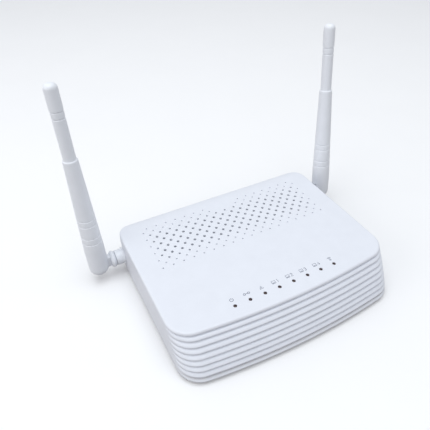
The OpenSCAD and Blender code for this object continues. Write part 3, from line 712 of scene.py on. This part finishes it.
def make_cover():
    """Hollow top cover: ribbed front, plain sides, rolled rear edge, vent field and an opening for the panel."""
    shell = Shell()
    rows = rib_rows()
    top_points, top_normals = outline(rows[-1][1])
    backs = [how_far_back(p) for p in top_points]
    radii = [edge_radius(n, b) for n, b in zip(top_normals, backs)]
    next_points = top_points[1:] + top_points[:1]
    in_opening = [p[1] > REAR - 0.01 and q[1] > REAR - 0.01 and max(abs(p[0]), abs(q[0])) < OPENING_HALF + 0.01
                  for p, q in zip(top_points, next_points)]
    ceiling = TOP - WALL
    grid = cover_outside(shell, rows, top_points, radii, backs, in_opening)
    edge, flat = cover_edge(shell, grid[-1], top_points, top_normals, radii)
    upper, upper_flat, lower, lower_flat = cover_holes(shell, ceiling)
    extra, extra_flat = roll_points(shell)
    shell.fill([edge, *upper], [flat, *upper_flat], extra, extra_flat)
    inner = cover_inside(shell, ceiling, backs, in_opening)
    join_walls(shell, grid, inner, in_opening)
    shell.fill([inner[-1], *lower], [[shell.points[i][:2] for i in inner[-1]], *lower_flat])
    # screw bosses under the ceiling
    for x, y in SCREWS:
        place = Matrix.Translation((x, REAR - y, 0))
        shell.lathe([(1.25, 7.0), (3.1, 7.0), (3.3, 7.2), (3.3, ceiling), (1.25, ceiling)], 32, place, closed=True)
    return shell


piece("cover_shell", make_cover(), "case", "cover_white", ["top_cover"])


# ---- base ----


def base_walls(shell, floor_z):
    """The lip with the lowest rib and the upstand inside the cover; gives back their rings of points."""
    lip_top = PART - 0.05
    rear_ledge = 2.15
    upstand = FRONT + setback(PART + PITCH * 1.5) + DEPTH
    soft = 0.6
    profile = []
    for k in range(15):
        t = k / 14
        z = BOTTOM + t * (lip_top - BOTTOM)
        bead = DEPTH * groove_share(t)
        low_edge = max(0, 1 - (z - BOTTOM) / soft)
        high_edge = max(0, 1 - (lip_top - z) / 0.25)
        inset = soft * (1 - math.sqrt(1 - low_edge ** 2)) + 0.25 * (1 - math.sqrt(1 - high_edge ** 2))
        profile.append((FRONT + 0.5 * setback(z) + 0.5 * setback((BOTTOM + lip_top) / 2) + bead - inset, inset, z))
    profile.append((upstand, rear_ledge, lip_top))
    profile.append((upstand, rear_ledge, lip_top + 1.8))
    profile.append((upstand, rear_ledge + 0.2, lip_top + 2.0))
    profile.append((upstand, rear_ledge + 1.0, lip_top + 2.0))
    profile.append((upstand, rear_ledge + 1.2, lip_top + 1.8))
    profile.append((upstand, rear_ledge + 1.2, floor_z))
    rings = []
    for front, inset, z in profile:
        points, _ = outline(front, inset)
        rings.append(shell.loop([(x, y, z) for x, y in points]))
    for a, b in zip(rings, rings[1:]):
        shell.bridge(a, b)
    return rings


def base_floor(shell, rings, floor_z):
    """The floor with its slots, keyholes and screw wells, and shallow pockets for the feet and the label."""
    slots = [rounded(rect(side * 18 - 12, REAR - 38 - i * 5, side * 18 + 12, REAR - 36 - i * 5), 0.95, 5)
             for i in range(8) for side in (-1, 1)]
    keyholes = []
    for side in (-1, 1):
        x, y = side * 45, REAR - 62
        open_at = math.asin(2 / 3.6)
        head = [(x + 3.6 * math.sin(a), y - 3.6 * math.cos(a))
                for a in [open_at + (2 * math.pi - 2 * open_at) * k / 28 for k in range(29)]]
        end = [(x - 2 * math.cos(a), y - 6 - 2 * math.sin(a)) for a in [math.pi * k / 12 for k in range(13)]]
        keyholes.append(head + end)
    wells = [circle(x, REAR - y, 3.1, 32) for x, y in SCREWS]
    through = slots + keyholes + wells
    blind = [(circle(x, REAR - y, 5.15, 40), 0.5) for x, y in FEET]
    blind.append((rounded(rect(-28.15, REAR - 92 - 15.15, 28.15, REAR - 92 + 15.15), 1.2, 4), 0.2))
    rim = 0.25
    low, high = [rings[0]], [rings[-1]]
    low_flat = [[shell.points[i][:2] for i in rings[0]]]
    high_flat = [[shell.points[i][:2] for i in rings[-1]]]
    for loop in through:
        made = []
        for inset, z in ((-rim, BOTTOM), (-rim * 0.3, BOTTOM + rim * 0.3), (0, BOTTOM + rim), (0, floor_z)):
            made.append((shell.loop([(x, y, z) for x, y in shrink(loop, inset)]), shrink(loop, inset)))
        for (a, _), (b, _) in zip(made, made[1:]):
            shell.bridge(a, b)
        low.append(made[0][0])
        low_flat.append(made[0][1])
        high.append(made[-1][0])
        high_flat.append(made[-1][1])
    for loop, depth in blind:
        outer = shell.loop([(x, y, BOTTOM) for x, y in loop])
        deep = shell.loop([(x, y, BOTTOM + depth) for x, y in loop])
        shell.bridge(outer, deep)
        shell.fill([deep], [loop])
        low.append(outer)
        low_flat.append(loop)
    shell.fill(low, low_flat)
    shell.fill(high, high_flat)


def base_posts(shell):
    """Screw wells and board posts."""
    for x, y in SCREWS:
        place = Matrix.Translation((x, REAR - y, 0))
        shell.lathe([(3.1, 2.4), (4.3, 2.4), (4.3, 6.5), (4.1, 6.7), (1.5, 6.7), (1.5, 5.0), (3.1, 5.0)],
                    32, place, closed=True)
    for x, y in POSTS:
        place = Matrix.Translation((x, REAR - y, 0))
        shell.lathe([(0.95, 3.0), (2.5, 3.0), (2.5, 6.8), (2.3, 7.0), (0.95, 7.0)], 24, place, closed=True)


def rear_panel(shell):
    """The panel, with an opening for each socket and button; the four jacks share one."""
    cuts = []
    sockets = (("lan_jack_1", "lan_jack_4"), ("optical_socket", "optical_socket"), ("dc_socket", "dc_socket"))
    for first, last in sockets:
        a, b = box(first)[0], box(last)[1]
        cuts.append(rounded(rect(a.x - 0.15, a.z - 0.15, b.x + 0.15, b.z + 0.15), 0.4, 3))
    a, b = box("power_button")
    x, z, half = (a.x + b.x) / 2, (a.z + b.z) / 2, 4.0
    cuts.append(rounded(rect(x - half, z - half, x + half, z + half), 0.8, 4))
    a, b = box("wifi_button")
    cuts.append(circle((a.x + b.x) / 2, (a.z + b.z) / 2, 2.6, 36))
    a, b = box("reset_plunger")
    cuts.append(circle((a.x + b.x) / 2, (a.z + b.z) / 2, 0.9, 24))
    outer = rounded(rect(-PANEL_HALF, PART - 0.7, PANEL_HALF, PANEL_TOP), [0, 0, 0.8, 0.8], 4)
    shell.plate(outer, cuts, -WALL, -0.25, 0.12, 0.25, ON_REAR)


def make_base():
    """Lower shell: lip, floor, posts and rear panel."""
    shell = Shell()
    floor_z = BOTTOM + WALL
    rings = base_walls(shell, floor_z)
    base_floor(shell, rings, floor_z)
    base_posts(shell)
    rear_panel(shell)
    return shell


piece("base_shell", make_base(), "case", "base_white", ["base"])


# ---- antennas ----

JOINTS = {joint["name"]: joint for joint in frame["joints"]}


def antenna_frame(side):
    """Where an antenna stands: Z along its rod, X outwards and the origin on its hinge pin."""
    joint = JOINTS[side + "_fold"]
    pin = Vector(joint["pos_m"]) / MM
    axis = Vector(joint["axis"])
    out = Vector((math.copysign(1, pin.x), 0, 0))
    along = axis.cross(out)
    if along.z < 0:
        along = -along
    across = along.cross(out)
    turn = Matrix((out, across, along)).transposed().to_4x4()
    return Matrix.Translation(pin) @ turn


# along the rod, from the pin: where its taper, step and tip start and where it ends; then the radius of each part
TAPER_FROM = 14.0
ROD = 124.99
STEP = ROD - 45
TIP_FROM = ROD - 14.8
END_R = 6.6
LOW_R = 4.5
HIGH_R = 3.75
TIP_R = 3.88
TIP_ROUND = 3.0
END_DROP = 1.4
# outwards from the pin to the case: the knuckle's ring, the sleeve and the case's side wall
RING = END_DROP + END_R + 0.3
RING_W = 3.4
SLEEVE_END = RING + RING_W + 0.3
WALL_X = 17.8
JOURNAL_END = 24.8
JOURNAL_R = 3.0
BORE_R = 3.05
SLEEVE_R = 5.2
COLLAR_R = 6.0
LYING = Matrix.Rotation(math.radians(-90), 4, "Y")


def rod_radius(s):
    """Radius of the rod at a distance from its pin, grooves left out."""
    if s < TAPER_FROM:
        return END_R
    if s < STEP:
        return END_R - (END_R - LOW_R) * (s - TAPER_FROM) / (STEP - TAPER_FROM)
    if s < TIP_FROM:
        return HIGH_R
    return TIP_R


def make_rod(place):
    """The rod with its grooves, and the cutter for the slot in its foot."""
    shell = Shell()
    profile = []
    for k in range(19):
        a = math.pi / 2 * k / 18
        profile.append((END_R * math.sin(a), -END_DROP - END_R * math.cos(a)))
    stops = [3.0, 7.0, 11.0, TAPER_FROM, 17.0, 28.5, 31.5, 45.0, 55.0, 65.0, 73.0]
    low = [20.9, 25.4, 34.7, 38.9]
    high = [ROD - 19.3, ROD - 15.3]
    # a groove's section: place across it, and depth
    groove = [(-0.62, 0), (-0.42, 0.06), (-0.26, 0.2), (-0.1, 0.32),
              (0.1, 0.32), (0.26, 0.2), (0.42, 0.06), (0.62, 0)]
    marks = [(s, rod_radius(s)) for s in stops]
    marks += [(g + ds, rod_radius(g + ds) - d) for g in low for ds, d in groove]
    marks += [(STEP - 0.6, 4.52), (STEP - 0.2, LOW_R), (STEP + 0.1, 4.36), (STEP + 0.2, 4.1),
              (STEP + 0.25, 3.92), (STEP + 0.4, 3.8), (STEP + 0.7, HIGH_R)]
    marks += [(s, HIGH_R) for s in (ROD - 38, ROD - 28)]
    marks += [(g + ds, rod_radius(g + ds) - d) for g in high for ds, d in groove]
    marks += [(ROD - 11, TIP_R), (ROD - 6, TIP_R)]
    profile += [(r, s) for s, r in sorted(marks)]
    for k in range(11):
        a = math.pi / 2 * k / 10
        profile.append((TIP_R - TIP_ROUND + TIP_ROUND * math.cos(a), ROD - TIP_ROUND + TIP_ROUND * math.sin(a)))
    profile.append((0, ROD))
    shell.lathe(profile, 72, place)
    cutter = Shell()
    # the slot that the knuckle's tongue turns in, open towards the case and below
    shape = rounded(rect(-14, -14, 4.8, 4.8), [0, 0, 2.6, 0], 6)
    cutter.plate(shape, [], -2.5, 2.5, 0.0001, place=place @ ON_SIDE)
    return shell, cutter


def make_swivel(place):
    """Knuckle: chamfered ring, journal into the case, tongue with its eye."""
    shell = Shell()
    turned = place @ LYING
    line = [(0, RING), (4.7, RING), (6.0, RING + RING_W * 0.42), (6.0, RING + RING_W * 0.58),
            (4.7, RING + RING_W),
            (JOURNAL_R, RING + RING_W), (JOURNAL_R, JOURNAL_END), (0, JOURNAL_END)]
    shell.lathe(rounded(line, [0, 0.35, 0.4, 0.4, 0.35, 0.15, 0.3, 0], 4, closed=False), 64, turned)
    tongue = [(-RING - 0.8, -3.9), (-1.2, -3.9)]
    for k in range(17):
        a = math.radians(-105 + 210 * k / 16)
        tongue.append((4.2 * math.cos(a), 4.2 * math.sin(a)))
    tongue += [(-1.2, 3.9), (-RING - 0.8, 3.9)]
    hole = circle(0, 0, 1.3, 24)
    shell.plate(tongue, [hole], -2.2, 2.2, 0.45, 0.1, place @ ON_SIDE, 4)
    return shell


def make_sleeve(place):
    """Sleeve that the journal turns in, with its collar outside the wall."""
    shell = Shell()
    turned = place @ LYING
    line = [(BORE_R, SLEEVE_END), (SLEEVE_R, SLEEVE_END), (SLEEVE_R, WALL_X - 0.9), (COLLAR_R, WALL_X - 0.9),
            (COLLAR_R, WALL_X - 0.05), (SLEEVE_R, WALL_X - 0.05), (SLEEVE_R, WALL_X + 3.5), (BORE_R, WALL_X + 3.5)]
    shell.lathe(rounded(line, [0.2, 0.35, 0.15, 0.3, 0, 0, 0.2, 0.1], 4), 64, turned, closed=True)
    return shell


for side in ("left", "right"):
    place = antenna_frame(side)
    rod, slot_cut = make_rod(place)
    piece(side + "_rod_skin", rod, side + "_antenna", "antenna_white", [side + "_rod"], cut=slot_cut)
    piece(side + "_knuckle_skin", make_swivel(place), side + "_knuckle", "antenna_white", [side + "_swivel"])
    piece(side + "_sleeve_skin", make_sleeve(place), "case", "antenna_white", [side + "_sleeve"])


# ---- indicator windows ----


def make_lenses():
    """The light pipes: a bar under the cover and a domed end in each hole."""
    shell = Shell()
    a, b = box("light_pipes")
    bar_z = TOP - WALL - 4
    shell.plate(rounded(rect(a.x, a.y, b.x, b.y), 0.6, 3), [], bar_z, bar_z + 1.5, 0.2)
    for i in range(LEDS):
        place = Matrix.Translation((led_x(i), LED_Y, 0))
        line = [(0, a.z), (LED_R - 0.1, a.z), (LED_R, a.z + 0.2), (LED_R, TOP - 0.3), (LED_R * 0.93, TOP - 0.16),
                (LED_R * 0.75, TOP - 0.07), (LED_R * 0.4, TOP - 0.01), (0, TOP)]
        shell.lathe(line, 28, place)
    return shell


piece("led_lenses", make_lenses(), "case", "pipe_clear", ["light_pipes"])


# ---- printed marks: plain pictograms and numerals of this file's own ----


def arc(x, y, r, start, end, steps=12):
    """Points along an arc, between two angles in degrees."""
    return [(x + r * math.cos(math.radians(start + (end - start) * k / steps)),
             y + r * math.sin(math.radians(start + (end - start) * k / steps))) for k in range(steps + 1)]


PORT = [[(-0.9, -0.8), (0.9, -0.8), (0.9, 0.8), (-0.9, 0.8), (-0.9, -0.8)],
        [(-0.4, -0.8), (-0.4, -0.3), (0.4, -0.3), (0.4, -0.8)]]
DIGITS = [
    [[(-0.35, 0.55), (0.05, 0.85), (0.05, -0.85)]],
    [[(-0.5, 0.45)] + arc(0, 0.4, 0.48, 160, -30, 8) + [(-0.5, -0.85), (0.55, -0.85)]],
    [arc(-0.05, 0.42, 0.43, 150, -90, 9) + arc(-0.05, -0.4, 0.45, 90, -150, 9)],
    [[(0.25, -0.85), (0.25, 0.85), (-0.55, -0.35), (0.6, -0.35)]],
]
POWER_SIGN = [arc(0, -0.05, 0.85, 125, 415, 20), [(0, 0.1), (0, 1.0)]]
FIBRE_SIGN = [arc(-1.1, 0, 0.5, 0, 360, 14), arc(1.1, 0, 0.5, 0, 360, 14), [(-0.6, 0), (0.6, 0)]]
LOSS_SIGN = [[(-0.95, -0.75), (0.95, -0.75), (0, 0.9), (-0.95, -0.75)], [(0, -0.35), (0, 0.3)]]
RADIO_SIGN = [arc(0, -0.8, 1.6, 50, 130), arc(0, -0.8, 1.0, 50, 130), arc(0, -0.8, 0.35, 0, 360)]
PLUG_SIGN = [[(-1.2, 0.35), (1.2, 0.35)], [(-1.2, -0.35), (-0.55, -0.35)], [(-0.32, -0.35), (0.32, -0.35)],
             [(0.55, -0.35), (1.2, -0.35)]]


def moved(lines, dx, scale=1.0):
    return [[(x * scale + dx, y * scale) for x, y in line] for line in lines]


def port_sign(i):
    """A socket outline and its number."""
    return moved(PORT, -1.1) + moved(DIGITS[i], 1.1)


def print_signs(shell, signs, place, low, high, width=0.24):
    """Prints signs, each with its x, y, lines and scale, from a low to a high level."""
    for x, y, lines, scale in signs:
        spot = place @ Matrix.Translation((x, y, 0))
        for line in moved(lines, 0, scale):
            shell.stroke(line, width, low, high, spot)


marks = Shell()
top_signs = [POWER_SIGN, FIBRE_SIGN, LOSS_SIGN] + [port_sign(i) for i in range(4)] + [RADIO_SIGN]
print_signs(marks, [(led_x(i), LED_Y + 4.6, sign, 1.3) for i, sign in enumerate(top_signs)],
            Matrix.Translation((0, 0, TOP)), -0.01, 0.02, 0.36)
piece("top_marks", marks, "case", "cover_white", material=ink)

rear_marks = Shell()


def over(node):
    """Middle of a CAD node across the case."""
    a, b = box(node)
    return (a.x + b.x) / 2


# seen from behind, X runs the other way, so the signs are turned about
TURNED = ON_REAR @ Matrix.Scale(-1, 4, (1, 0, 0))
mark_z = BOARD_TOP + 16
signs = [(-over(f"lan_jack_{i + 1}"), mark_z, port_sign(i), 1.2) for i in range(4)]
signs.append((-over("optical_socket"), mark_z, FIBRE_SIGN, 1.2))
signs.append((-over("wifi_button"), mark_z, RADIO_SIGN, 1.1))
signs.append((-over("dc_socket"), mark_z, PLUG_SIGN, 1.1))
signs.append((-over("power_button"), mark_z, POWER_SIGN, 1.2))
signs.append((-over("reset_plunger"), mark_z, [arc(0, 0, 0.8, 60, 380, 16)], 1.0))
print_signs(rear_marks, signs, TURNED, -0.255, -0.23)
piece("rear_marks", rear_marks, "case", "base_white", material=ink)


# ---- buttons, feet and label ----


def make_power_button():
    """Dished square cap, its flange and its stem."""
    shell = Shell()
    a, b = box("power_button")
    x, z = (a.x + b.x) / 2, (a.z + b.z) / 2
    cap = rounded(rect(x - 3.7, z - 3.7, x + 3.7, z + 3.7), 0.9, 5)
    dish = circle(x, z, 2.6, 40)
    shell.plate(cap, [], -2.3, b.y - REAR, 0.55, 0.3, ON_REAR, 5, [(dish, b.y - REAR - 0.25)])
    flange = rounded(rect(x - 4.6, z - 4.6, x + 4.6, z + 4.6), 0.6, 3)
    shell.plate(flange, [], -3.2, -2.3, 0.15, place=ON_REAR)
    stem = rounded(rect(x - 1.5, z - 1.5, x + 1.5, z + 1.5), 0.3, 3)
    shell.plate(stem, [], a.y - REAR, -3.1, 0.15, place=ON_REAR)
    return shell


piece("power_cap", make_power_button(), "power_key", "button_white", ["power_button"])


def make_wifi_button():
    """Round dished cap with a flange and a stem."""
    shell = Shell()
    a, b = box("wifi_button")
    place = ON_REAR @ Matrix.Translation(((a.x + b.x) / 2, (a.z + b.z) / 2, 0))
    end = b.y - REAR
    line = [(0, a.y - REAR), (1.2, a.y - REAR), (1.2, -3.0), (3.0, -3.0), (3.0, -2.3), (2.3, -2.3), (2.3, end),
            (1.7, end), (1.5, end - 0.12), (0, end - 0.12)]
    shell.lathe(rounded(line, [0, 0.15, 0, 0.1, 0.1, 0, 0.45, 0.1, 0.1, 0], 4, closed=False), 40, place)
    return shell


piece("wifi_cap", make_wifi_button(), "wifi_key", "button_white", ["wifi_button"])


def make_feet():
    shell = Shell()
    for x, y in FEET:
        place = Matrix.Translation((x, REAR - y, 0))
        line = [(0, 2.0), (5.0, 2.0), (5.0, 0.35), (4.6, 0.002), (2.9, 0.002), (2.7, 0.15), (0, 0.15)]
        shell.lathe(rounded(line, [0, 0.1, 0.3, 0.3, 0.1, 0.1, 0], 3, closed=False), 48, place)
    return shell


piece("foot_pads", make_feet(), "case", "foot_rubber", ["feet"])


def make_label():
    shell = Shell()
    a, b = box("rating_label")
    shell.plate(rounded(rect(a.x, a.y, b.x, b.y), 1.2, 5), [], a.z, b.z, 0.03)
    return shell


piece("label_film", make_label(), "case", "label_film", ["rating_label"])


# ---- edges of the CAD parts that stay ----

for name, width in (("soc_chip", 0.1), ("soc_heatsink", 0.12), ("memory_chip", 0.08), ("flash_chip", 0.08),
                    ("wifi_chip", 0.08), ("wifi_shield", 0.1), ("lan_transformers", 0.25), ("inductors", 0.3),
                    ("capacitors", 0.3), ("crystals", 0.4), ("main_board", 0.1), ("power_switch", 0.2),
                    ("wifi_switch", 0.15), ("reset_switch", 0.15), ("dc_socket", 0.25), ("optical_socket", 0.25),
                    ("lan_jack_1", 0.25), ("lan_jack_2", 0.25), ("lan_jack_3", 0.25), ("lan_jack_4", 0.25),
                    ("case_screws", 0.12), ("board_screws", 0.1), ("status_leds", 0.1), ("optical_latches", 0.1)):
    soften(name, width)

# ---- floor, light and camera ----

floor_mesh = bpy.data.meshes.new("floor")
floor_mesh.from_pydata([(-4, -4, 0), (4, -4, 0), (4, 4, 0), (-4, 4, 0)], [], [(0, 1, 2, 3)])
floor = bpy.data.objects.new("floor", floor_mesh)
floor.data.materials.append(surface("floor_paper", "fbfbfc", 0.9, 0.8, 0.01, 0.004, patch=60))
bpy.context.scene.collection.objects.link(floor)
floor.visible_diffuse = False

world = bpy.data.worlds.new("studio")
world.use_nodes = True
bpy.context.scene.world = world
tree = world.node_tree
back = tree.nodes["Background"]
sky_where = tree.nodes.new("ShaderNodeTexCoord")
sky_split = tree.nodes.new("ShaderNodeSeparateXYZ")
sky_ramp = tree.nodes.new("ShaderNodeValToRGB")
tree.links.new(sky_where.outputs["Generated"], sky_split.inputs["Vector"])
tree.links.new(sky_ramp.outputs["Color"], back.inputs["Color"])
sky_up = node_of(tree, "ShaderNodeMapRange", From_Min=-1.0, From_Max=1.0)
tree.links.new(sky_split.outputs["Z"], sky_up.inputs["Value"])
tree.links.new(sky_up.outputs["Result"], sky_ramp.inputs["Fac"])
sky_ramp.color_ramp.elements[0].position = 0.4
sky_ramp.color_ramp.elements[0].color = (0.24, 0.23, 0.23, 1)
sky_ramp.color_ramp.elements[1].position = 1.0
sky_ramp.color_ramp.elements[1].color = (0.56, 0.58, 0.61, 1)
horizon = sky_ramp.color_ramp.elements.new(0.52)
horizon.color = (0.55, 0.55, 0.56, 1)


def softbox(name, spot, target, size, power, colour):
    light = bpy.data.lights.new(name, "AREA")
    light.shape = "RECTANGLE"
    light.size, light.size_y = size
    light.energy = power
    light.color = colour
    lamp = bpy.data.objects.new(name, light)
    lamp.location = spot
    lamp.rotation_euler = (Vector(target) - Vector(spot)).to_track_quat("-Z", "Y").to_euler()
    bpy.context.scene.collection.objects.link(lamp)


softbox("key", (-0.1, -0.1, 1.3), (0, 0, 0), (1.1, 1.1), 8.6, (0.94, 0.98, 1.0))
softbox("fill", (-1.0, 0.0, 0.4), (0, 0, 0.02), (0.9, 0.9), 2.8, (1.0, 0.98, 0.98))

AZIMUTH, ELEVATION, ROLL = math.radians(-26.64), math.radians(40.29), math.radians(-0.91)
lens = bpy.data.cameras.new("camera")
lens.sensor_width = 36
lens.lens = 37.06
lens.clip_start = 0.01
camera = bpy.data.objects.new("camera", lens)
forward = Vector((-math.sin(AZIMUTH) * math.cos(ELEVATION), math.cos(AZIMUTH) * math.cos(ELEVATION),
                  -math.sin(ELEVATION)))
camera.rotation_mode = "QUATERNION"
camera.rotation_quaternion = forward.to_track_quat("-Z", "Y") @ Matrix.Rotation(ROLL, 3, "Z").to_quaternion()
camera.location = (-0.11515, -0.17743, 0.23252)
bpy.context.scene.collection.objects.link(camera)
bpy.context.scene.camera = camera
bpy.context.scene.view_settings.view_transform = "Standard"
